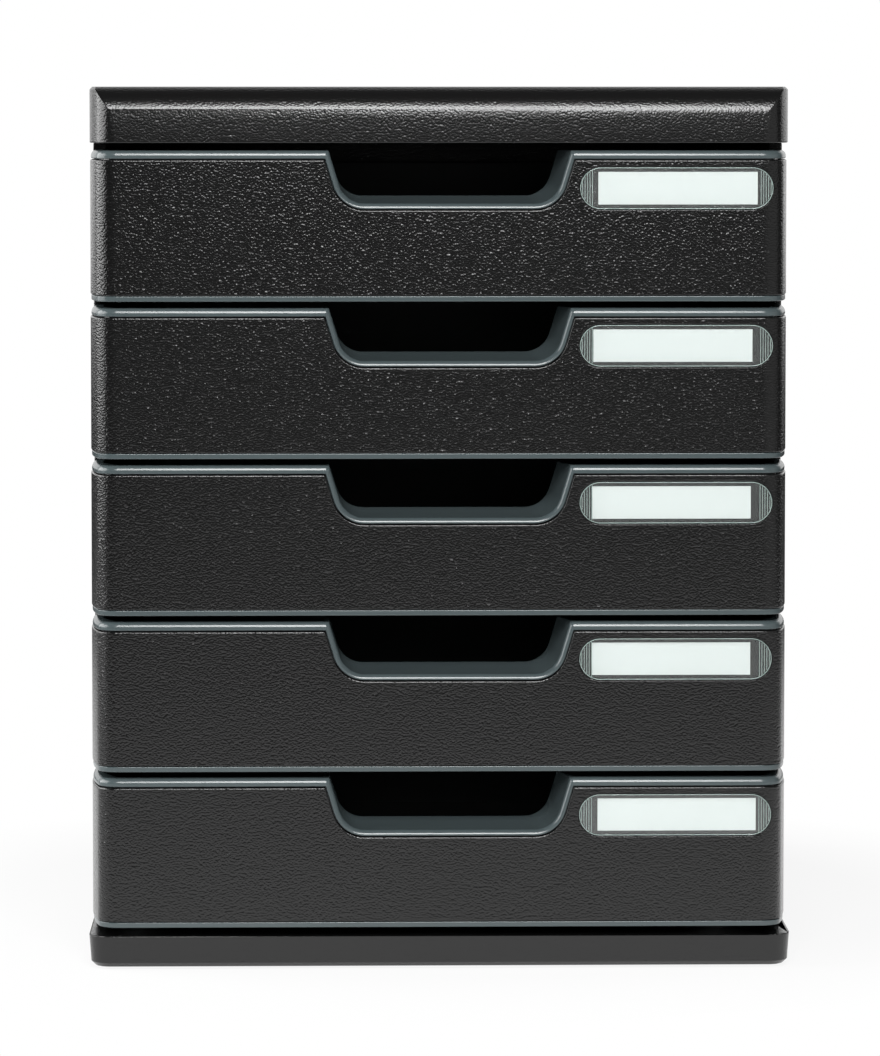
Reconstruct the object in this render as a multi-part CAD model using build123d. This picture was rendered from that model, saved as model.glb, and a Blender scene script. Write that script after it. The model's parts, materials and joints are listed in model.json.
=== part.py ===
from build123d import *
import math
import os

# Desktop drawer unit with five drawers, in millimetres.
# +Z is up, the drawers face -Y, and the origin is on the desk under the middle of the unit.

# Overall sizes
unit_width = 256.0
unit_depth = 315.0
drawer_count = 5
drawer_pitch = 57.0

# Base plinth
base_height = 11.4
base_wall = 2.4
base_corner_radius = 8.2
base_draft_angle = 4.0
base_edge_chamfer = 1.6
base_rib_thickness = 2.0
base_rib_height = 6.0

# Soft feet
foot_proud = 1.0
foot_length = 24.0
foot_width = 14.0
foot_thickness = 3.0
foot_edge_chamfer = 0.6
foot_corner_cut = 3.0
foot_seat_gap = 0.3
foot_inset = 24.0
foot_boss_wall = 2.0

# Lid
lid_side_setback = 0.8
lid_end_setback = 0.3
lid_height = 20.3
lid_wall = 2.5
lid_roll_radius = 12.0
lid_roll_drop = 11.5
lid_side_chamfer = 1.0
lid_back_radius = 6.0

# Rounded front corners, shared by the lid and the drawer fronts
corner_width = 10.5
lid_corner_depth = 19.0
front_corner_depth = 30.0
corner_nose_radius = 8.0

# Side and back panels
panel_thickness = 2.5
panel_edge_radius = 0.8
side_panel_inset = 1.3
panel_shoulder_height = 3.0
back_panel_thickness = 2.5
back_field_depth = 0.5
back_field_margin = 18.0
panel_seat_gap = 0.3
groove_rib_thickness = 1.8
groove_rib_height = 6.0
deck_rib_height = 3.4
back_rib_reach = 6.0

# Runner channels inside the side panels
runner_reach = 9.2
runner_thickness = 2.2
keeper_reach = 7.2
keeper_thickness = 2.0
keeper_clearance = 0.8
runner_clearance = 0.3
runner_front_setback = 2.0
runner_back_setback = 8.0
stop_length = 4.0
stop_reach = 1.3

# Drawer fronts
front_side_setback = 0.5
front_setback = 0.5
front_stack_gap = 2.4
front_return_depth = 35.0
front_to_panel_gap = 0.5
base_to_front_gap = 3.0
front_to_lid_gap = 2.7
top_lip_height = 3.0
bottom_lip_height = 2.0
lip_setback = 0.3
lip_chamfer = 1.2
frame_wall = 1.8
frame_corner_cut = 13.0

# Fascia
fascia_thickness = 2.9
fascia_seat_gap = 0.3
fascia_top_groove = 0.4
fascia_bottom_gap = 0.2
fascia_edge_chamfer = 0.35
clip_width = 8.0
clip_thickness = 1.6
clip_reach = 1.4
clip_clearance = 0.3
clip_root = 0.2
clip_end_inset = 42.5
clip_low_rise = 9.8
clip_high_drop = 8.2

# Pull recess
pull_width = 90.5
pull_to_label_gap = 1.5
pull_drop = 18.1
pull_slant_angle = 17.0
pull_corner_radius = 12.0
pull_lip_width = 2.0
pull_depth = 20.0
pull_floor_rise = 2.5
pull_side_draft = 2.0
pull_back_shift = 2.0

# Tray
tray_wall = 2.0
tray_floor = 2.0
tray_bottom_lift = 1.2
tray_rim_drop = 8.6
tray_kept_in = 85.0
tray_back_gap = 1.0
tray_corner_radius = 6.0
tray_floor_chamfer = 1.2
flange_reach = 9.5
flange_side_gap = 1.7
flange_thickness = 2.0
flange_back_setback = 6.2
stop_nub_length = 6.0
stop_nub_reach = 1.2

# Label holder
label_end_margin = 6.55
label_width = 70.7
label_height = 15.7
label_drop = 2.4
label_recess_depth = 2.1
window_clearance = 0.3
window_recess = 0.25
window_thickness = 1.45
window_grip_depth = 0.9
window_rib_pitch = 0.9
window_rib_depth = 0.3
window_rib_count = 4
window_land = 1.0
card_end_margin = 6.5
card_edge_margin = 1.95
card_thickness = 0.3
card_gap = 0.05
card_shifts = [0.5, -1.2, -1.6, -1.6, 0.6]

# How far an added or cut shape reaches past the face it meets, and how closely an edge is picked
overlap = 1.0
tiny = 0.01

# Sizes that follow
lid_width = unit_width - 2 * lid_side_setback
lid_depth = unit_depth - 2 * lid_end_setback
front_width = unit_width - 2 * front_side_setback
front_height = drawer_pitch - front_stack_gap
drawer_travel = unit_depth - tray_kept_in
card_width = label_width - 2 * card_end_margin
card_height = label_height - 2 * card_edge_margin

# Levels from the desk
base_bottom_z = foot_proud
deck_z = base_bottom_z + base_height
first_front_z = deck_z + base_to_front_gap
lid_bottom_z = first_front_z + (drawer_count - 1) * drawer_pitch + front_height + front_to_lid_gap
lid_top_z = lid_bottom_z + lid_height
ceiling_z = lid_top_z - lid_wall

# Planes of the casing, front to back and across
front_y = -unit_depth / 2 + front_setback
lid_front_y = -lid_depth / 2
lid_inner_back_y = lid_depth / 2 - lid_wall
panel_outer_x = unit_width / 2 - side_panel_inset
panel_inner_x = panel_outer_x - panel_thickness
tongue_outer_x = lid_width / 2 - lid_wall - panel_seat_gap
tongue_inner_x = tongue_outer_x - panel_thickness
panel_front_y = front_y + front_return_depth + front_to_panel_gap
panel_back_y = lid_inner_back_y - panel_seat_gap
back_panel_front_y = panel_back_y - back_panel_thickness

# Planes and levels of a drawer, its levels from the foot of its front
flange_outer_x = panel_inner_x - flange_side_gap
tray_outer_x = flange_outer_x - flange_reach
tray_back_y = back_panel_front_y - tray_back_gap
frame_inset = fascia_thickness + fascia_seat_gap + frame_wall
frame_back_y = front_y + frame_inset
flange_top = front_height - tray_rim_drop
flange_bottom = flange_top - flange_thickness
fascia_seat_low = bottom_lip_height
fascia_seat_high = front_height - top_lip_height
fascia_low = fascia_seat_low + fascia_bottom_gap
fascia_high = fascia_seat_high - fascia_top_groove
label_offset = front_width / 2 - label_end_margin - label_width / 2
label_middle = fascia_high - label_drop - label_height / 2
pull_offset = label_offset - label_width / 2 - pull_to_label_gap - pull_width / 2
pull_low = fascia_high - pull_drop
lip_opening_inset = fascia_top_groove + pull_lip_width
stop_front_y = panel_front_y + runner_front_setback
stop_back_y = stop_front_y + stop_length
nub_front_y = stop_back_y + runner_clearance + drawer_travel


def block(x_low, x_high, y_low, y_high, z_low, z_high):
    """A rectangular block between two corners."""
    size = Box(x_high - x_low, y_high - y_low, z_high - z_low)
    return Pos((x_low + x_high) / 2, (y_low + y_high) / 2, (z_low + z_high) / 2) * size


def mirrored_pair(shape):
    """The shape and its mirror image across the middle of the unit."""
    return [shape, mirror(shape, about=Plane.YZ)]


def rounded_front_plan(half_width, front, back, corner_depth, inset):
    """Plan outline, parallel to the front at an inset, whose front corners run nose arc then flank arc."""
    nose = corner_nose_radius
    flank_rise = corner_depth - nose
    flank = (flank_rise**2 + corner_width**2 - nose**2) / (2 * (corner_width - nose))
    flank_angle = math.degrees(math.asin(flank_rise / (flank - nose)))
    nose_center = (half_width - corner_width, front + nose)
    flank_center = (half_width - flank, front + corner_depth)
    nose_arc = CenterArc(nose_center, nose - inset, -90, 90 - flank_angle)
    flank_arc = CenterArc(flank_center, flank - inset, -flank_angle, flank_angle)
    side = Line(flank_arc @ 1, (half_width - inset, back))
    halves = [mirrored_pair(edge) for edge in (nose_arc, flank_arc, side)]
    edges = [edge for pair in halves for edge in pair]
    edges.append(Line((corner_width - half_width, front + inset), nose_arc @ 0))
    edges.append(Line((inset - half_width, back), (half_width - inset, back)))
    return make_face(edges)


def pull_side_x(height, inset):
    """Half width of the pull recess at a height above the front's foot, at an inset into the opening."""
    slant = math.radians(pull_slant_angle)
    return pull_width / 2 - (fascia_high - height) * math.tan(slant) - inset / math.cos(slant)


def pull_outline(inset, top, side_draft=0.0, floor_rise=0.0):
    """Front view of the pull recess as a closed face, at an inset into the opening."""
    low = pull_low + inset + floor_rise
    half_low = pull_side_x(pull_low + inset, inset) - side_draft
    half_top = pull_side_x(top, inset) - side_draft
    half_low += floor_rise * math.tan(math.radians(pull_slant_angle))
    corners = [(-half_low, low), (half_low, low), (half_top, top), (-half_top, top)]
    outline = make_face(Polyline(*corners, close=True))
    low_corners = outline.vertices().sort_by(Axis.Y)[:2]
    outline = fillet(low_corners, pull_corner_radius - inset)
    return Pos(pull_offset, 0) * outline


def front_outline(half_width, low, high, opening_inset):
    """Front view of a drawer front between two heights, with the pull recess cut from its top edge."""
    sheet = Pos(0, (low + high) / 2) * Rectangle(2 * half_width, high - low)
    return sheet - pull_outline(opening_inset, high + pull_lip_width)


def push_back(outline, start, depth):
    """A front view outline pushed back into the unit, from a plane at start."""
    return Pos(0, start, 0) * extrude(Plane.XZ * outline, amount=-depth)


def plan_band(outer_inset, inner_inset):
    """The band of a drawer front between two insets from its face, open towards the back, full height."""
    half = front_width / 2
    back = front_y + front_return_depth
    outer = rounded_front_plan(half, front_y, back, front_corner_depth, outer_inset)
    inner = rounded_front_plan(half, front_y, back + overlap, front_corner_depth, inner_inset)
    return extrude(outer - inner, amount=front_height)


def frame_band():
    """The front frame's band, rounded outside like the fascia and with plain cut corners inside."""
    half = front_width / 2
    back = front_y + front_return_depth
    outer = rounded_front_plan(half, front_y, back, front_corner_depth, lip_setback)
    inner_corners = [
        (half - corner_width, frame_back_y),
        (half - frame_inset, frame_back_y + frame_corner_cut),
        (half - frame_inset, back + overlap),
    ]
    far_corners = [(-x, y) for x, y in reversed(inner_corners)]
    inner = make_face(Polyline(*inner_corners, *far_corners, close=True))
    return extrude(outer - inner, amount=front_height)


def clip_places():
    """Places of the fascia clips: two high beside the pull recess and one low in the middle."""
    side_x = front_width / 2 - clip_end_inset
    high = fascia_high - clip_high_drop
    return [(-side_x, high), (side_x, high), (0.0, fascia_low + clip_low_rise)]


def clip_block(x, height, grow, y_low, y_high):
    """One clip, or its slot when grown, across the front wall."""
    half_wide = clip_width / 2 + grow
    half_tall = clip_thickness / 2 + grow
    return block(x - half_wide, x + half_wide, y_low, y_high, height - half_tall, height + half_tall)


def make_front_frame():
    """Grey frame behind and round the fascia: wall, bottom lip, and a top lip that turns over."""
    half = front_width / 2 + overlap
    outline = front_outline(half, 0.0, front_height, lip_opening_inset)
    whole = push_back(outline, front_y - overlap, front_return_depth + 2 * overlap)
    frame = whole & frame_band()
    lip_front = front_y + lip_setback
    side_x = front_width / 2 - lip_setback
    in_lip = [
        edge
        for edge in frame.edges()
        if edge.bounding_box().min.Z > pull_low
        and (
            edge.bounding_box().max.Y < lip_front + tiny
            or edge.bounding_box().min.Z > front_height - tiny
            and (edge.geom_type == GeomType.CIRCLE or abs(edge.center().X) > side_x - tiny)
        )
    ]
    return chamfer(in_lip, lip_chamfer)


def make_fascia_seat():
    """Room that the fascia and its clips need in the tray's front."""
    half = front_width / 2 + overlap
    outline = front_outline(half, fascia_seat_low, fascia_seat_high, fascia_top_groove)
    whole = push_back(outline, front_y - overlap, front_return_depth + 2 * overlap)
    seat = whole & plan_band(-overlap, fascia_thickness + fascia_seat_gap)
    slots = [
        clip_block(x, height, clip_clearance, front_y + fascia_thickness, frame_back_y + overlap)
        for x, height in clip_places()
    ]
    return [seat, *slots]


def make_pull_scoop():
    """Scoop behind the pull recess: towards the back its floor climbs and its right side draws in."""
    start = front_y + fascia_thickness + fascia_seat_gap
    end = front_y + pull_depth
    solids = []
    for inset in (fascia_top_groove, lip_opening_inset):
        near = Plane.XZ.offset(-start) * pull_outline(inset, front_height)
        far = pull_outline(inset, front_height, pull_side_draft, pull_floor_rise)
        far = Plane.XZ.offset(-end) * Pos(-pull_back_shift, 0) * far
        solids.append(loft([near, far], ruled=True))
    return solids[0] - solids[1]


def make_tray_shell():
    """Floor, side walls and back wall of the tray, open at the front where the front frame closes it."""
    low = tray_bottom_lift
    front = frame_back_y - frame_wall / 2
    shell = block(-tray_outer_x, tray_outer_x, front, tray_back_y, low, flange_top)
    back_corners = shell.edges().filter_by(Axis.Z).group_by(Axis.Y)[-1]
    shell = fillet(back_corners, tray_corner_radius)
    floor_edges = shell.faces().sort_by(Axis.Z)[0].edges()
    shell = chamfer(floor_edges.sort_by(Axis.Y)[1:], tray_floor_chamfer)
    inner_x = tray_outer_x - tray_wall
    floor_top = low + tray_floor
    room = block(-inner_x, inner_x, front - overlap, tray_back_y - tray_wall, floor_top, flange_top + overlap)
    room = fillet(room.edges().filter_by(Axis.Z).group_by(Axis.Y)[-1], tray_corner_radius - tray_wall)
    return shell - room


def make_tray():
    """Drawer tray with its floor at the front's foot: walls, side flanges, stop nubs and front frame."""
    flange = block(
        tray_outer_x - tray_wall / 2,
        flange_outer_x,
        frame_back_y - frame_wall / 2,
        back_panel_front_y - flange_back_setback,
        flange_bottom,
        flange_top,
    )
    nub = block(
        flange_outer_x - overlap,
        flange_outer_x + stop_nub_reach,
        nub_front_y,
        nub_front_y + stop_nub_length,
        flange_bottom,
        flange_top,
    )
    tray = make_tray_shell()
    for side in mirrored_pair(flange + nub):
        tray = tray + side
    tray = tray + make_front_frame()
    tray = tray + make_pull_scoop()
    for room in make_fascia_seat():
        tray = tray - room
    return tray


def label_slot(length, height, depth):
    """Round-ended block of the label recess, its face in the plane y = 0, going back."""
    return push_back(SlotOverall(length, height), 0.0, depth)


def make_fascia():
    """Black front skin wrapped round both corners, with the pull recess, label recess and clips."""
    half = front_width / 2 + overlap
    outline = front_outline(half, fascia_low, fascia_high, 0.0)
    whole = push_back(outline, front_y - overlap, front_return_depth + 2 * overlap)
    skin = whole & plan_band(0.0, fascia_thickness)
    top_edges = [
        edge
        for edge in skin.edges()
        if edge.bounding_box().max.Y < front_y + tiny and edge.bounding_box().min.Z > pull_low - tiny
    ]
    skin = chamfer(top_edges, fascia_edge_chamfer)
    recess = label_slot(label_width, label_height, label_recess_depth)
    recess = Pos(label_offset, front_y, label_middle) * recess
    skin = skin - recess
    clip_front = front_y + fascia_thickness - clip_root
    clip_back = frame_back_y + clip_reach
    for x, height in clip_places():
        skin = skin + clip_block(x, height, 0.0, clip_front, clip_back)
    return skin


def make_window():
    """Clear label window with a finger grip and ribs at each end, and a pocket for the card behind."""
    length = label_width - 2 * window_clearance
    height = label_height - 2 * window_clearance
    window = label_slot(length, height, window_thickness)
    grip = Pos(length / 2, window_thickness / 2, 0) * Rot(0, 45, 0) * Box(
        window_grip_depth, 2 * window_thickness, window_grip_depth
    )
    for side in mirrored_pair(grip):
        window = window - side
    rib_start = card_width / 2 + 2 * window_rib_pitch
    for index in range(window_rib_count):
        x = rib_start + index * window_rib_pitch
        chord = 2 * math.sqrt((height / 2) ** 2 - (x - length / 2 + height / 2) ** 2)
        groove = block(
            x - window_rib_pitch / 4,
            x + window_rib_pitch / 4,
            window_thickness - window_rib_depth,
            window_thickness + overlap,
            window_land - chord / 2,
            chord / 2 - window_land,
        )
        for side in mirrored_pair(groove):
            window = window - side
    return Pos(label_offset, front_y + window_recess, label_middle) * window


def make_card(shift):
    """Blank card that sits loosely behind the window, a little off the middle."""
    card_front = front_y + window_recess + window_thickness + card_gap
    card = Pos(0, card_thickness / 2, 0) * Box(card_width, card_thickness, card_height)
    return Pos(label_offset + shift, card_front, label_middle) * card


def make_side_panel():
    """Right side panel with a runner channel, a stop for each drawer and the back panel's rib."""
    shoulder_z = lid_bottom_z - panel_seat_gap
    panel = block(panel_inner_x, panel_outer_x, panel_front_y, panel_back_y, deck_z, shoulder_z)
    front_edges = panel.edges().filter_by(Axis.Z).group_by(Axis.Y)[0]
    panel = fillet(front_edges, panel_edge_radius)
    shoulder_low_z = shoulder_z - panel_shoulder_height
    panel = panel + block(
        tongue_inner_x, panel_outer_x, panel_front_y, panel_back_y, shoulder_low_z, shoulder_z
    )
    panel = panel + block(
        tongue_inner_x, tongue_outer_x, panel_front_y, panel_back_y, shoulder_low_z, ceiling_z
    )
    rail_front = panel_front_y + runner_front_setback
    rail_back = back_panel_front_y - runner_back_setback
    for index in range(drawer_count):
        foot_z = first_front_z + index * drawer_pitch
        runner_top = foot_z + flange_bottom - runner_clearance
        keeper_low = foot_z + flange_top + keeper_clearance
        panel = panel + block(
            panel_inner_x - runner_reach,
            panel_inner_x + overlap,
            rail_front,
            rail_back,
            runner_top - runner_thickness,
            runner_top,
        )
        panel = panel + block(
            panel_inner_x - keeper_reach,
            panel_inner_x + overlap,
            rail_front,
            rail_back,
            keeper_low,
            keeper_low + keeper_thickness,
        )
        panel = panel + block(
            panel_inner_x - stop_reach,
            panel_inner_x + overlap,
            stop_front_y,
            stop_back_y,
            runner_top - runner_thickness / 2,
            keeper_low + keeper_thickness / 2,
        )
    rib_back = back_panel_front_y - panel_seat_gap
    panel = panel + block(
        panel_inner_x - back_rib_reach,
        panel_inner_x + overlap,
        rib_back - groove_rib_thickness,
        rib_back,
        deck_z + groove_rib_height + overlap,
        shoulder_z,
    )
    return panel


def make_back_panel():
    """Plain back with a shallow recessed field, held between the side panels."""
    half = tongue_inner_x - panel_seat_gap
    panel = block(-half, half, back_panel_front_y, panel_back_y, deck_z, ceiling_z)
    field = block(
        back_field_margin - half,
        half - back_field_margin,
        panel_back_y - back_field_depth,
        panel_back_y + overlap,
        deck_z + back_field_margin,
        ceiling_z - back_field_margin,
    )
    field = fillet(field.edges().filter_by(Axis.Y), tray_corner_radius)
    return panel - field


def lid_body(inset, low, high):
    """Lid form at an inset: plan with rounded front corners, crossed with the rolled front profile."""
    half = lid_width / 2
    plan = rounded_front_plan(half, lid_front_y, lid_depth / 2 - inset, lid_corner_depth, inset)
    body = Pos(0, 0, low) * extrude(plan, amount=high - low)
    roll = lid_roll_radius - inset
    center_y = lid_front_y + lid_roll_radius
    center_z = lid_top_z - lid_roll_drop
    reach = math.sqrt(roll**2 - (high - center_z) ** 2) if roll > high - center_z else 0.0
    crest = (center_y - reach, high)
    start = (center_y - roll, center_z)
    middle_angle = math.radians(180 - math.degrees(math.atan2(high - center_z, reach)) / 2)
    middle = (center_y + roll * math.cos(middle_angle), center_z + roll * math.sin(middle_angle))
    arc = ThreePointArc(start, middle, crest)
    rest = Polyline(crest, (lid_depth / 2, high), (lid_depth / 2, low), (center_y - roll, low), start)
    profile = make_face([arc, *rest.edges()])
    side_view = Pos(-lid_width, 0, 0) * extrude(Plane.YZ * profile, amount=2 * lid_width)
    return body & side_view


def make_top_cover():
    """Lid shell, open underneath, with ribs that the panels' top edges stand between."""
    lid = lid_body(0.0, lid_bottom_z, lid_top_z)
    back_corners = lid.edges().filter_by(Axis.Z).group_by(Axis.Y)[-1]
    lid = fillet(back_corners, lid_back_radius)
    top_edges = [
        edge
        for edge in lid.edges()
        if edge.center().Z > lid_top_z - tiny and edge.center().Y > lid_front_y + lid_corner_depth - overlap
    ]
    lid = chamfer(top_edges, lid_side_chamfer)
    lid = lid - lid_body(lid_wall, lid_bottom_z - overlap, ceiling_z)
    rib_outer_x = tongue_inner_x - panel_seat_gap
    side_rib = block(
        rib_outer_x - groove_rib_thickness,
        rib_outer_x,
        panel_front_y,
        back_panel_front_y - runner_back_setback,
        ceiling_z - groove_rib_height,
        ceiling_z + overlap,
    )
    for side in mirrored_pair(side_rib):
        lid = lid + side
    back_rib_y = back_panel_front_y - panel_seat_gap
    back_rib = block(
        -tray_outer_x,
        tray_outer_x,
        back_rib_y - groove_rib_thickness,
        back_rib_y,
        ceiling_z - groove_rib_height,
        ceiling_z + overlap,
    )
    return lid + back_rib


def make_base():
    """Base plinth, open underneath, with stiffening ribs, foot bosses and the panels' seats on its deck."""
    plan = RectangleRounded(unit_width, unit_depth, base_corner_radius)
    body = Pos(0, 0, deck_z) * extrude(plan, amount=-base_height, taper=base_draft_angle)
    body = chamfer(body.faces().sort_by(Axis.Z)[0].edges(), base_edge_chamfer)
    draft = base_height * math.tan(math.radians(base_draft_angle))
    inner_width = unit_width - 2 * (base_wall + draft)
    inner_depth = unit_depth - 2 * (base_wall + draft)
    room_plan = RectangleRounded(inner_width, inner_depth, base_corner_radius - base_wall)
    room_top = deck_z - base_wall
    room = Pos(0, 0, base_bottom_z - overlap) * extrude(room_plan, amount=room_top - base_bottom_z + overlap)
    base = body - room
    half_rib = base_rib_thickness / 2
    for x in (-inner_width / 6, inner_width / 6):
        base = base + block(
            x - half_rib, x + half_rib, -inner_depth / 2 - overlap, inner_depth / 2 + overlap,
            room_top - base_rib_height, room_top + overlap,
        )
    for y in (-inner_depth / 6, inner_depth / 6):
        base = base + block(
            -inner_width / 2 - overlap, inner_width / 2 + overlap, y - half_rib, y + half_rib,
            room_top - base_rib_height, room_top + overlap,
        )
    for x, y in foot_places():
        boss = foot_pad(foot_seat_gap + foot_boss_wall, room_top - base_bottom_z + overlap)
        seat = foot_pad(foot_seat_gap, foot_thickness)
        base = base + Pos(x, y, base_bottom_z) * boss
        base = base - Pos(x, y, 0) * seat
    rib_outer_x = panel_inner_x - panel_seat_gap
    side_rib = block(
        rib_outer_x - groove_rib_thickness,
        rib_outer_x,
        panel_front_y,
        back_panel_front_y - runner_back_setback,
        deck_z - overlap,
        deck_z + deck_rib_height,
    )
    for side in mirrored_pair(side_rib):
        base = base + side
    back_rib_y = back_panel_front_y - panel_seat_gap
    base = base + block(
        -tray_outer_x, tray_outer_x, back_rib_y - groove_rib_thickness, back_rib_y,
        deck_z - overlap, deck_z + deck_rib_height,
    )
    return base


def foot_places():
    """Middles of the four feet."""
    x = unit_width / 2 - foot_inset
    y = unit_depth / 2 - foot_inset
    return [(-x, -y), (x, -y), (-x, y), (x, y)]


def foot_pad(grow, height):
    """Rectangular pad with cut corners, grown on all sides, standing on z = 0."""
    plan = Rectangle(foot_length + 2 * grow, foot_width + 2 * grow)
    plan = chamfer(plan.vertices(), foot_corner_cut)
    return extrude(plan, amount=height)


def make_foot(x, y):
    """Soft foot that stands a little below the base."""
    foot = foot_pad(0.0, foot_thickness)
    foot = chamfer(foot.faces().sort_by(Axis.Z)[0].edges(), foot_edge_chamfer)
    return Pos(x, y, 0) * foot


def save(shape, name):
    """Write one piece under its own name."""
    shape.label = name
    export_step(shape, os.path.join("parts", name + ".step"))


os.makedirs("parts", exist_ok=True)

save(make_base(), "base")
save(make_top_cover(), "top_cover")
right_panel = make_side_panel()
save(right_panel, "right_side_panel")
save(mirror(right_panel, about=Plane.YZ), "left_side_panel")
save(make_back_panel(), "back_panel")

foot_names = ["foot_front_left", "foot_front_right", "foot_back_left", "foot_back_right"]
for foot_name, (foot_x, foot_y) in zip(foot_names, foot_places()):
    save(make_foot(foot_x, foot_y), foot_name)

tray = make_tray()
fascia = make_fascia()
window = make_window()
for number in range(1, drawer_count + 1):
    lift = Pos(0, 0, first_front_z + (drawer_count - number) * drawer_pitch)
    save(lift * tray, f"drawer_tray_{number}")
    save(lift * fascia, f"fascia_{number}")
    save(lift * window, f"label_window_{number}")
    save(lift * make_card(card_shifts[number - 1]), f"label_card_{number}")
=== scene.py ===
import json
import math

import bmesh
import bpy
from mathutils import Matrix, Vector

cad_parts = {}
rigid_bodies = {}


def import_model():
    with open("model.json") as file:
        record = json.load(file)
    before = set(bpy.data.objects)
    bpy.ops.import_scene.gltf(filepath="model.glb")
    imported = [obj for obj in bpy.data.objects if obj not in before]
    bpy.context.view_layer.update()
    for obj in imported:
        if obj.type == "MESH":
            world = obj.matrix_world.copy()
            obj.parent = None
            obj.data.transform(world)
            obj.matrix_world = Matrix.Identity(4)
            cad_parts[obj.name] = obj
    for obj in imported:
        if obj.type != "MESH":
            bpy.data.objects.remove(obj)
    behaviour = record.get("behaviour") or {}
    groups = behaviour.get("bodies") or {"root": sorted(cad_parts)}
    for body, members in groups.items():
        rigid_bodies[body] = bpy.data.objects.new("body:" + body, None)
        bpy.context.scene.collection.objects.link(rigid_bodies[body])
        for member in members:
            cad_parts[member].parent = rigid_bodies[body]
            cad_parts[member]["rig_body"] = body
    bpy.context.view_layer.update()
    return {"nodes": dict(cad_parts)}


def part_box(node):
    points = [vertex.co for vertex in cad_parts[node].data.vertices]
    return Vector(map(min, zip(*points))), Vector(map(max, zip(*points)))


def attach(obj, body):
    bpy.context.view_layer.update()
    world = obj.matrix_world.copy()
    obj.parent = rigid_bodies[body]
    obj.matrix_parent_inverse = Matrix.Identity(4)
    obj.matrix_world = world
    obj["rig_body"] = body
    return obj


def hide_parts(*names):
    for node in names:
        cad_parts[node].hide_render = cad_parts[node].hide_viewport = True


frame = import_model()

# Desktop drawer unit with five drawers, in metres. The drawers face -Y and the unit stands on z = 0.

millimetre = 0.001
drawer_count = 5

# Rounding along the outer edges of each moulding
fascia_edge_width = 0.3 * millimetre
tray_edge_width = 0.35 * millimetre
casing_edge_width = 0.4 * millimetre
foot_edge_width = 0.3 * millimetre
edge_segments = 3

# Rounding along both edges of a 45 degree chamfer, which turns it into a roll
lip_roll_width = 0.82 * millimetre
fascia_roll_width = 0.24 * millimetre

# Edges that turn more than the sharp angle are rounded. Between the chamfer angles they edge a chamfer.
# A rounding takes up at most its share of the faces beside it.
sharp_angle = math.radians(32)
chamfer_angles = (math.radians(40), math.radians(50))
edge_share_of_face = 0.2
roll_share_of_face = 0.72

# Corners closer than the weld distance become one, and so do faces that turn less than the flat angle
weld_distance = 0.002 * millimetre
flat_angle = math.radians(0.5)

# Grip ribs at both ends of each label window
rib_count = 5
rib_pitch = 0.9 * millimetre
rib_width = 0.26 * millimetre
rib_height = 0.1 * millimetre
rib_end_margin = 0.9 * millimetre
rib_rim_margin = 0.5 * millimetre
rib_sides = 12

# Rim round each label window
rim_width = 0.3 * millimetre
rim_inset = 0.2 * millimetre
rim_steps = 24

# Pebbled grain of the black mouldings. The real pebbles are too fine to show in the render, so they are
# drawn coarser. Slow drifts in height and tone run through them.
pebble_size = 0.78 * millimetre
drifts_per_pebble = 0.45
drift_share_of_height = 0.15
front_grain_depth = 0.11 * millimetre
casing_grain_depth = 0.075 * millimetre

# How strongly polystyrene bends light
polystyrene_ior = 1.59

# Numbers of a Mix node's colour sockets, because its other sockets have the same names
mix_first, mix_second, mix_result = 6, 7, 2

# Floor, with its reaches in metres from its middle. The camera sees a little of the shadow up to the
# shadow's reach. Gloss on the unit mirrors white up to the second reach, and beyond it a painted dark
# grey floor: painted shade for the gloss to mirror.
floor_width = 12.0
shadow_reach = (0.18, 0.28)
white_over_shadow = 0.88
mirrored_white_reach = (0.4, 1.1)
near_floor_colour = "#F2F2F2"
painted_shade_far_floor_colour = "#505050"

# Surroundings, which gloss mirrors as white where a ray points this much towards +Y, and dim elsewhere
ambient_light = 0.08
backdrop_share = (0.5, 0.8)

# Soft lamps: name, place, width and height in metres, and power in watts, all turned to one point
lamp_target = (0.0, -0.15, 0.18)
lamps = [
    ("key_softbox", (0.03, -1.43, 1.10), 0.7, 0.85, 27.0),
    ("left_reflector", (-1.26, 0.02, 0.62), 1.5, 0.9, 20.0),
    ("right_reflector", (1.10, -0.90, 0.45), 1.8, 0.9, 1.8),
]

# The photograph's viewpoint, with the image taken as 880 by 1056 pixels, at a distance from the fascias
camera_distance = 1.850
camera_height = 0.320
camera_side = -0.040
camera_tilt = math.radians(3.494)
camera_yaw = math.radians(1.237)
camera_lens = 174.6
camera_sensor = 36.0
camera_shift = (0.0, -0.1192)


def linear(hex_colour):
    """An sRGB hex colour as linear red, green, blue and alpha."""
    channels = [int(hex_colour[i : i + 2], 16) / 255 for i in (1, 3, 5)]
    return [c / 12.92 if c <= 0.04045 else ((c + 0.055) / 1.055) ** 2.4 for c in channels] + [1.0]


def add_node(tree, kind, settings=None, links=None):
    """A node in a tree. Its settings and links go by attribute, input name or input number."""
    node = tree.nodes.new(kind)
    for name, value in (settings or {}).items():
        if isinstance(name, int) or name in node.inputs:
            node.inputs[name].default_value = value
        else:
            setattr(node, name, value)
    for name, source in (links or {}).items():
        tree.links.new(source, node.inputs[name])
    return node


def new_material(name):
    """An empty material with nodes, and its tree."""
    material = bpy.data.materials.new(name)
    material.use_nodes = True
    material.node_tree.nodes.clear()
    return material, material.node_tree


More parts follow.
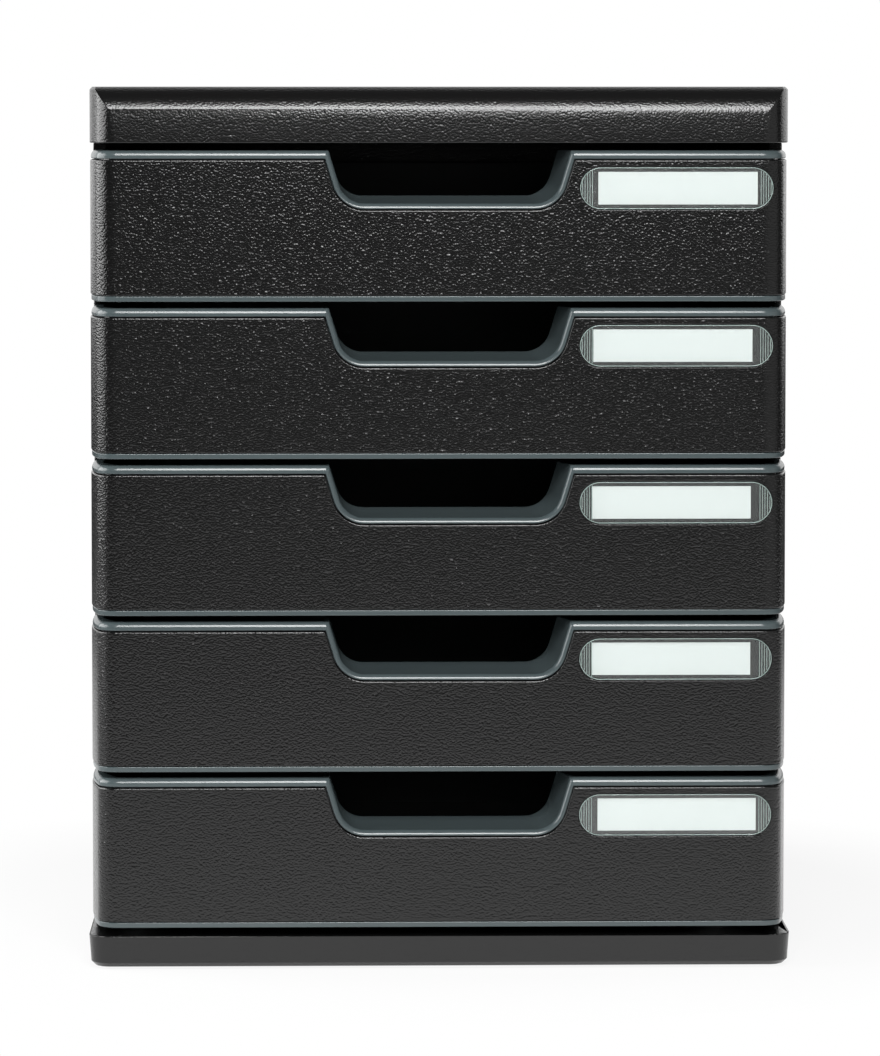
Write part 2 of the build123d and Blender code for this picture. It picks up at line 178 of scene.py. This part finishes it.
def grained_polystyrene(name, colour, lighter_colour, roughness, grain_depth):
    """Moulded polystyrene with a fine pebbled grain etched into the mould: dark, with small glints."""
    material, tree = new_material(name)
    place = add_node(tree, "ShaderNodeTexCoord").outputs["Object"]
    pebbles = add_node(
        tree,
        "ShaderNodeTexVoronoi",
        {"feature": "F1", "Scale": 1 / pebble_size, "Randomness": 1.0},
        {"Vector": place},
    ).outputs["Distance"]
    domes = add_node(tree, "ShaderNodeMath", {"operation": "MULTIPLY"}, {0: pebbles, 1: pebbles})
    drift = add_node(
        tree,
        "ShaderNodeTexNoise",
        {"Scale": drifts_per_pebble / pebble_size, "Detail": 3.0, "Roughness": 0.6},
        {"Vector": place},
    ).outputs["Fac"]
    height = add_node(
        tree,
        "ShaderNodeMath",
        {"operation": "MULTIPLY_ADD", 1: drift_share_of_height},
        {0: drift, 2: domes.outputs["Value"]},
    )
    bump = add_node(
        tree,
        "ShaderNodeBump",
        {"Strength": 1.0, "Distance": grain_depth, "invert": True},
        {"Height": height.outputs["Value"]},
    )
    tone = add_node(
        tree,
        "ShaderNodeMix",
        {"data_type": "RGBA", mix_first: linear(colour), mix_second: linear(lighter_colour)},
        {"Factor": drift},
    )
    shader = add_node(
        tree,
        "ShaderNodeBsdfPrincipled",
        {"Roughness": roughness, "IOR": polystyrene_ior},
        {"Base Color": tone.outputs[mix_result], "Normal": bump.outputs["Normal"]},
    )
    add_node(tree, "ShaderNodeOutputMaterial", {}, {"Surface": shader.outputs["BSDF"]})
    return material


def uneven_material(name, looks, wave_size, wave_depth, detail=2.0, strength=1.0):
    """One even colour on a faintly uneven surface, whose waves have a size and a depth."""
    material, tree = new_material(name)
    place = add_node(tree, "ShaderNodeTexCoord").outputs["Object"]
    waves = add_node(
        tree,
        "ShaderNodeTexNoise",
        {"Scale": 1 / wave_size, "Detail": detail},
        {"Vector": place},
    )
    bump = add_node(
        tree,
        "ShaderNodeBump",
        {"Strength": strength, "Distance": wave_depth},
        {"Height": waves.outputs["Fac"]},
    )
    shader = add_node(tree, "ShaderNodeBsdfPrincipled", looks, {"Normal": bump.outputs["Normal"]})
    add_node(tree, "ShaderNodeOutputMaterial", {}, {"Surface": shader.outputs["BSDF"]})
    return material


def satin_polystyrene(name):
    """Smooth satin moulded polystyrene: even slate grey with soft broad highlights."""
    looks = {"Base Color": linear("#495355"), "Roughness": 0.22, "IOR": polystyrene_ior}
    return uneven_material(name, looks, 6 * millimetre, 0.01 * millimetre)


def highlight_painted_polystyrene(name):
    """Clear polystyrene of the ribs and rims, given a light grey green that is painted highlight for
    the light their clear edges catch, with some of the dark behind it.
    """
    looks = {"Base Color": linear("#B4C6C1"), "Roughness": 0.1, "IOR": polystyrene_ior, "Alpha": 0.6}
    return uneven_material(name, looks, 0.5 * millimetre, 0.003 * millimetre)


def uncoated_card(name):
    """Smooth uncoated card of the labels: an even soft white with faint fibres."""
    looks = {"Base Color": linear("#E7E8E8"), "Roughness": 0.7, "IOR": 1.45}
    return uneven_material(name, looks, 1.2 * millimetre, 0.01 * millimetre, detail=4.0, strength=0.6)


def soft_rubber(name):
    """Moulded thermoplastic rubber of the feet: near black and matt."""
    looks = {"Base Color": linear("#262626"), "Roughness": 0.85, "IOR": 1.5}
    return uneven_material(name, looks, 0.8 * millimetre, 0.02 * millimetre)


def clear_polystyrene(name):
    """Polished clear polystyrene: bends what is behind it, shines at its edges, lets lamps through."""
    material, tree = new_material(name)
    faint_green = linear("#F8FBFA")
    body = add_node(
        tree,
        "ShaderNodeBsdfPrincipled",
        {
            "Base Color": faint_green,
            "Roughness": 0.03,
            "IOR": polystyrene_ior,
            "Transmission Weight": 1.0,
        },
    )
    open_to_lamps = add_node(tree, "ShaderNodeBsdfTransparent", {"Color": faint_green})
    rays = add_node(tree, "ShaderNodeLightPath").outputs
    lets_through = add_node(
        tree,
        "ShaderNodeMath",
        {"operation": "MAXIMUM"},
        {0: rays["Is Shadow Ray"], 1: rays["Is Diffuse Ray"]},
    )
    blend = add_node(
        tree,
        "ShaderNodeMixShader",
        {},
        {
            "Fac": lets_through.outputs["Value"],
            1: body.outputs["BSDF"],
            2: open_to_lamps.outputs["BSDF"],
        },
    )
    add_node(tree, "ShaderNodeOutputMaterial", {}, {"Surface": blend.outputs["Shader"]})
    return material


def new_piece(name, data):
    """An object at the origin for a mesh or curve that holds its own place."""
    piece = bpy.data.objects.new(name, data)
    bpy.context.scene.collection.objects.link(piece)
    return piece


def room_in_face(loop):
    """How far a face reaches straight inwards from the middle of one of its edges."""
    start, end = loop.vert.co, loop.link_loop_next.vert.co
    along = (end - start).normalized()
    inward = loop.face.normal.cross(along)
    middle = (start + end) / 2
    reaches = [loop.face.calc_perimeter()]
    for other in loop.face.loops:
        near, far = other.vert.co - middle, other.link_loop_next.vert.co - middle
        near_along, far_along = near.dot(along), far.dot(along)
        if other != loop and near_along * far_along <= 0 and near_along != far_along:
            share = near_along / (near_along - far_along)
            reach = near.dot(inward) + share * (far - near).dot(inward)
            if reach > weld_distance:
                reaches.append(reach)
    return min(reaches)


def moulded_piece(node, material, edge_width=0.0, roll_width=0.0):
    """A copy of a CAD node with its outer edges rounded and chamfers rolled, in the node's place."""
    shape = bmesh.new()
    shape.from_mesh(frame["nodes"][node].data)
    bmesh.ops.remove_doubles(shape, verts=shape.verts, dist=weld_distance)
    bmesh.ops.dissolve_limit(
        shape,
        angle_limit=flat_angle,
        use_dissolve_boundaries=False,
        verts=shape.verts,
        edges=shape.edges,
    )
    widest = max(edge_width, roll_width)
    weight = shape.edges.layers.float.new("bevel_weight_edge")
    for face in shape.faces:
        face.smooth = True
    for edge in shape.edges:
        turn = edge.calc_face_angle_signed() if edge.is_manifold else math.pi
        edge.smooth = abs(turn) < sharp_angle
        if widest and edge.is_manifold and turn >= sharp_angle:
            is_chamfer = roll_width and chamfer_angles[0] < turn < chamfer_angles[1]
            wanted = roll_width if is_chamfer else edge_width
            share = roll_share_of_face if is_chamfer else edge_share_of_face
            room = min(room_in_face(loop) for loop in edge.link_loops)
            edge[weight] = min(wanted, share * room) / widest
    plain = bpy.data.meshes.new("moulded_" + node)
    shape.to_mesh(plain)
    shape.free()
    # The stored shading belongs to the unrounded mesh
    if "custom_normal" in plain.attributes:
        plain.attributes.remove(plain.attributes["custom_normal"])
    plain.materials.append(material)
    piece = new_piece("moulded_" + node, plain)
    if widest:
        bevel = piece.modifiers.new("mould_radius", "BEVEL")
        bevel.width = widest
        bevel.segments = edge_segments
        bevel.limit_method = "WEIGHT"
        bevel.use_clamp_overlap = False
        bevel.harden_normals = True
    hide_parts(node)
    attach(piece, frame["nodes"][node]["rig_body"])


def rib_tree(material):
    """Row of upright grip ribs: one rounded bar copied along a line, cut to a window's round end."""
    tree = bpy.data.node_groups.new("grip_ribs", "GeometryNodeTree")
    tree.is_modifier = True
    sizes = {"Count": "NodeSocketInt", "Start": "NodeSocketVector"}
    for name in ("Pitch", "Width", "Height", "End Radius", "End Middle"):
        sizes[name] = "NodeSocketFloat"
    for name, kind in sizes.items():
        tree.interface.new_socket(name, in_out="INPUT", socket_type=kind)
    tree.interface.new_socket("Geometry", in_out="OUTPUT", socket_type="NodeSocketGeometry")
    given = add_node(tree, "NodeGroupInput").outputs
    step = add_node(tree, "ShaderNodeCombineXYZ", {}, {"X": given["Pitch"]})
    row = add_node(
        tree,
        "GeometryNodeMeshLine",
        {"mode": "OFFSET"},
        {"Count": given["Count"], "Start Location": given["Start"], "Offset": step.outputs["Vector"]},
    )
    section = add_node(
        tree, "GeometryNodeCurvePrimitiveCircle", {"Resolution": rib_sides, "Radius": 1.0}
    )
    path = add_node(tree, "GeometryNodeCurvePrimitiveLine", {"Start": (0, 0, -1), "End": (0, 0, 1)})
    bar = add_node(
        tree,
        "GeometryNodeCurveToMesh",
        {"Fill Caps": True},
        {"Curve": path.outputs["Curve"], "Profile Curve": section.outputs["Curve"]},
    )
    position = add_node(tree, "GeometryNodeInputPosition").outputs["Position"]
    place = add_node(tree, "ShaderNodeSeparateXYZ", {}, {"Vector": position}).outputs
    offset = add_node(
        tree, "ShaderNodeMath", {"operation": "SUBTRACT"}, {0: place["X"], 1: given["End Middle"]}
    ).outputs["Value"]
    radius_squared = add_node(
        tree,
        "ShaderNodeMath",
        {"operation": "MULTIPLY"},
        {0: given["End Radius"], 1: given["End Radius"]},
    ).outputs["Value"]
    offset_squared = add_node(
        tree, "ShaderNodeMath", {"operation": "MULTIPLY"}, {0: offset, 1: offset}
    ).outputs["Value"]
    half_squared = add_node(
        tree, "ShaderNodeMath", {"operation": "SUBTRACT"}, {0: radius_squared, 1: offset_squared}
    ).outputs["Value"]
    half_length = add_node(
        tree, "ShaderNodeMath", {"operation": "SQRT"}, {0: half_squared}
    ).outputs["Value"]
    size = add_node(
        tree, "ShaderNodeCombineXYZ", {}, {"X": given["Width"], "Y": given["Height"], "Z": half_length}
    )
    copies = add_node(
        tree,
        "GeometryNodeInstanceOnPoints",
        {},
        {
            "Points": row.outputs["Mesh"],
            "Instance": bar.outputs["Mesh"],
            "Scale": size.outputs["Vector"],
        },
    )
    real = add_node(tree, "GeometryNodeRealizeInstances", {}, {"Geometry": copies.outputs["Instances"]})
    painted = add_node(
        tree,
        "GeometryNodeSetMaterial",
        {"Material": material},
        {"Geometry": real.outputs["Geometry"]},
    )
    add_node(tree, "NodeGroupOutput", {}, {"Geometry": painted.outputs["Geometry"]})
    return tree


def plain_mesh_of(carrier):
    """The finished shape of an object that only carries a modifier or a curve, as a plain mesh."""
    depsgraph = bpy.context.evaluated_depsgraph_get()
    mesh = bpy.data.meshes.new_from_object(carrier.evaluated_get(depsgraph))
    carrier.modifiers.clear()
    bpy.data.objects.remove(carrier)
    return mesh


def rib_row(tree, sizes, name):
    """One row of grip ribs as a plain mesh."""
    carrier = new_piece("carrier_" + name, bpy.data.meshes.new("carrier_" + name))
    make = carrier.modifiers.new("make", "NODES")
    make.node_group = tree
    for item in tree.interface.items_tree:
        if item.in_out == "INPUT":
            make[item.identifier] = sizes[item.name]
    return plain_mesh_of(carrier)


def join_meshes(meshes, name):
    """One mesh from several that keep their places and their one material."""
    joined = bmesh.new()
    for mesh in meshes:
        joined.from_mesh(mesh)
    for face in joined.faces:
        face.smooth = True
        face.material_index = 0
    result = bpy.data.meshes.new(name)
    joined.to_mesh(result)
    joined.free()
    # A tree's mesh can have an empty slot before the one that Set Material fills
    result.materials.append(meshes[0].materials[-1])
    return result


def grip_ribs(tree, number):
    """Grip ribs on the face of one label window, inside its round left and right ends."""
    low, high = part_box(f"label_window_{number}")
    end_radius = (high.z - low.z) / 2
    span = (rib_count - 1) * rib_pitch
    starts = [low.x + rib_end_margin, high.x - rib_end_margin - span]
    end_middles = [low.x + end_radius, high.x - end_radius]
    rows = []
    for side, start, end_middle in zip(("left", "right"), starts, end_middles):
        sizes = {
            "Count": rib_count,
            "Start": (start, low.y, (low.z + high.z) / 2),
            "Pitch": rib_pitch,
            "Width": rib_width / 2,
            "Height": rib_height,
            "End Radius": end_radius - rib_rim_margin,
            "End Middle": end_middle,
        }
        rows.append(rib_row(tree, sizes, f"rib_row_{side}_{number}"))
    piece = new_piece(f"grip_ribs_{number}", join_meshes(rows, f"grip_ribs_{number}"))
    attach(piece, f"drawer_{number}")


def window_rim(number, material):
    """Thin raised rim round the face of one label window, swept along its round-ended outline. Its
    light colour is a painted highlight along the window's edge.
    """
    low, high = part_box(f"label_window_{number}")
    end_radius = (high.z - low.z) / 2 - rim_inset
    end_middles = (high.x - end_radius - rim_inset, low.x + end_radius + rim_inset)
    path = bpy.data.curves.new(f"window_rim_{number}", "CURVE")
    path.dimensions = "3D"
    path.bevel_depth = rim_width / 2
    path.bevel_resolution = 2
    outline = path.splines.new("POLY")
    outline.points.add(2 * rim_steps + 1)
    outline.use_cyclic_u = True
    for side, end_middle in enumerate(end_middles):
        for step in range(rim_steps + 1):
            turn = math.pi * (step / rim_steps + side - 0.5)
            x = end_middle + end_radius * math.cos(turn)
            z = (low.z + high.z) / 2 + end_radius * math.sin(turn)
            outline.points[side * (rim_steps + 1) + step].co = (x, low.y, z, 1.0)
    mesh = plain_mesh_of(new_piece(f"carrier_rim_{number}", path))
    mesh.materials.clear()
    mesh.materials.append(material)
    piece = new_piece(f"window_rim_{number}", mesh)
    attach(piece, f"drawer_{number}")


def studio_floor():
    """White studio floor: keeps a soft shadow near the unit and runs out to the white background. Far
    out its colour is a painted dark grey, painted shade for the unit's gloss to mirror.
    """
    shape = bmesh.new()
    bmesh.ops.create_grid(shape, x_segments=1, y_segments=1, size=floor_width / 2)
    mesh = bpy.data.meshes.new("studio_floor")
    shape.to_mesh(mesh)
    shape.free()
    material, tree = new_material("matt white studio floor")
    place = add_node(tree, "ShaderNodeTexCoord").outputs["Object"]
    distance = add_node(
        tree, "ShaderNodeVectorMath", {"operation": "LENGTH"}, {"Vector": place}
    ).outputs["Value"]
    white_share = add_node(
        tree,
        "ShaderNodeMapRange",
        {
            "From Min": shadow_reach[0],
            "From Max": shadow_reach[1],
            "To Min": white_over_shadow,
            "To Max": 1.0,
        },
        {"Value": distance},
    ).outputs["Result"]
    near_white_share = add_node(
        tree,
        "ShaderNodeMapRange",
        {"From Min": mirrored_white_reach[0], "From Max": mirrored_white_reach[1], "To Min": 1.0, "To Max": 0.0},
        {"Value": distance},
    ).outputs["Result"]
    rays = add_node(tree, "ShaderNodeLightPath").outputs
    seen = add_node(
        tree, "ShaderNodeMath", {"operation": "MULTIPLY"}, {0: rays["Is Camera Ray"], 1: white_share}
    ).outputs["Value"]
    mirrored = add_node(
        tree, "ShaderNodeMath", {"operation": "MULTIPLY"}, {0: rays["Is Glossy Ray"], 1: near_white_share}
    ).outputs["Value"]
    either = add_node(
        tree, "ShaderNodeMath", {"operation": "MAXIMUM"}, {0: seen, 1: mirrored}
    ).outputs["Value"]
    share = add_node(
        tree, "ShaderNodeMath", {"operation": "ADD"}, {0: either, 1: rays["Is Transmission Ray"]}
    ).outputs["Value"]
    # Colour fades from light near the unit to a painted dark grey far out: painted shade, seen only in
    # reflections and bounced light
    tone = add_node(
        tree,
        "ShaderNodeMix",
        {
            "data_type": "RGBA",
            mix_first: linear(painted_shade_far_floor_colour),
            mix_second: linear(near_floor_colour),
        },
        {"Factor": near_white_share},
    )
    matt = add_node(
        tree,
        "ShaderNodeBsdfPrincipled",
        {"Roughness": 0.9, "IOR": 1.4},
        {"Base Color": tone.outputs[mix_result]},
    )
    white = add_node(tree, "ShaderNodeEmission", {"Color": (1, 1, 1, 1), "Strength": 1.0})
    blend = add_node(
        tree,
        "ShaderNodeMixShader",
        {},
        {"Fac": share, 1: matt.outputs["BSDF"], 2: white.outputs["Emission"]},
    )
    add_node(tree, "ShaderNodeOutputMaterial", {}, {"Surface": blend.outputs["Shader"]})
    mesh.materials.append(material)
    floor = new_piece("studio_floor", mesh)


def studio_world():
    """White background, also through the windows and in reflections of it, with soft ambient light."""
    world = bpy.data.worlds.new("studio")
    bpy.context.scene.world = world
    world.use_nodes = True
    tree = world.node_tree
    tree.nodes.clear()
    rays = add_node(tree, "ShaderNodeLightPath").outputs
    dim = add_node(tree, "ShaderNodeBackground", {"Color": (1, 1, 1, 1), "Strength": ambient_light})
    white = add_node(tree, "ShaderNodeBackground", {"Color": (1, 1, 1, 1), "Strength": 1.0})
    direction = add_node(tree, "ShaderNodeTexCoord").outputs["Generated"]
    facing = add_node(tree, "ShaderNodeSeparateXYZ", {}, {"Vector": direction})
    to_backdrop = add_node(
        tree,
        "ShaderNodeMapRange",
        {"From Min": backdrop_share[0], "From Max": backdrop_share[1], "To Min": 0.0, "To Max": 1.0},
        {"Value": facing.outputs["Y"]},
    ).outputs["Result"]
    seen = add_node(
        tree,
        "ShaderNodeMath",
        {"operation": "MAXIMUM"},
        {0: rays["Is Camera Ray"], 1: rays["Is Transmission Ray"]},
    ).outputs["Value"]
    mirrored = add_node(
        tree, "ShaderNodeMath", {"operation": "MULTIPLY"}, {0: rays["Is Glossy Ray"], 1: to_backdrop}
    ).outputs["Value"]
    share = add_node(
        tree, "ShaderNodeMath", {"operation": "MAXIMUM"}, {0: seen, 1: mirrored}
    ).outputs["Value"]
    blend = add_node(
        tree,
        "ShaderNodeMixShader",
        {},
        {"Fac": share, 1: dim.outputs["Background"], 2: white.outputs["Background"]},
    )
    add_node(tree, "ShaderNodeOutputWorld", {}, {"Surface": blend.outputs["Shader"]})


def softbox(name, place, width, height, power):
    """A rectangular soft lamp at a place, turned to the lamps' target."""
    lamp = bpy.data.lights.new(name, "AREA")
    lamp.shape = "RECTANGLE"
    lamp.size = width
    lamp.size_y = height
    lamp.energy = power
    box = bpy.data.objects.new(name, lamp)
    box.location = place
    box.rotation_euler = (Vector(lamp_target) - Vector(place)).to_track_quat("-Z", "Y").to_euler()
    bpy.context.scene.collection.objects.link(box)


def photo_camera():
    """Camera at the photograph's viewpoint."""
    lens = bpy.data.cameras.new("photo_camera")
    lens.lens = camera_lens
    lens.sensor_width = camera_sensor
    lens.shift_x, lens.shift_y = camera_shift
    camera = bpy.data.objects.new("photo_camera", lens)
    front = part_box("fascia_1")[0].y
    camera.location = (camera_side, front - camera_distance, camera_height)
    camera.rotation_euler = (math.pi / 2 - camera_tilt, 0.0, -camera_yaw)
    bpy.context.scene.collection.objects.link(camera)
    bpy.context.scene.camera = camera


front_black = grained_polystyrene(
    "grained black polystyrene", "#090909", "#0E0E0E", 0.18, front_grain_depth
)
casing_black = grained_polystyrene(
    "finely grained black polystyrene", "#090909", "#0E0E0E", 0.22, casing_grain_depth
)
slate = satin_polystyrene("satin slate polystyrene")
clear = clear_polystyrene("clear polished polystyrene")
# Light grey green of the ribs and rims: painted highlight on clear plastic
highlight_painted_clear = highlight_painted_polystyrene("clear polystyrene with painted highlights")
card = uncoated_card("smooth label card")
rubber = soft_rubber("moulded rubber foot")

for node in ("base", "top_cover", "left_side_panel", "right_side_panel", "back_panel"):
    moulded_piece(node, casing_black, casing_edge_width)
for corner in ("front_left", "front_right", "back_left", "back_right"):
    moulded_piece("foot_" + corner, rubber, foot_edge_width)
ribs = rib_tree(highlight_painted_clear)
for number in range(1, drawer_count + 1):
    moulded_piece(f"drawer_tray_{number}", slate, tray_edge_width, lip_roll_width)
    moulded_piece(f"fascia_{number}", front_black, fascia_edge_width, fascia_roll_width)
    moulded_piece(f"label_window_{number}", clear)
    moulded_piece(f"label_card_{number}", card)
    grip_ribs(ribs, number)
    window_rim(number, highlight_painted_clear)

studio_floor()
studio_world()
for lamp in lamps:
    softbox(*lamp)
photo_camera()
bpy.context.scene.view_settings.view_transform = "Standard"
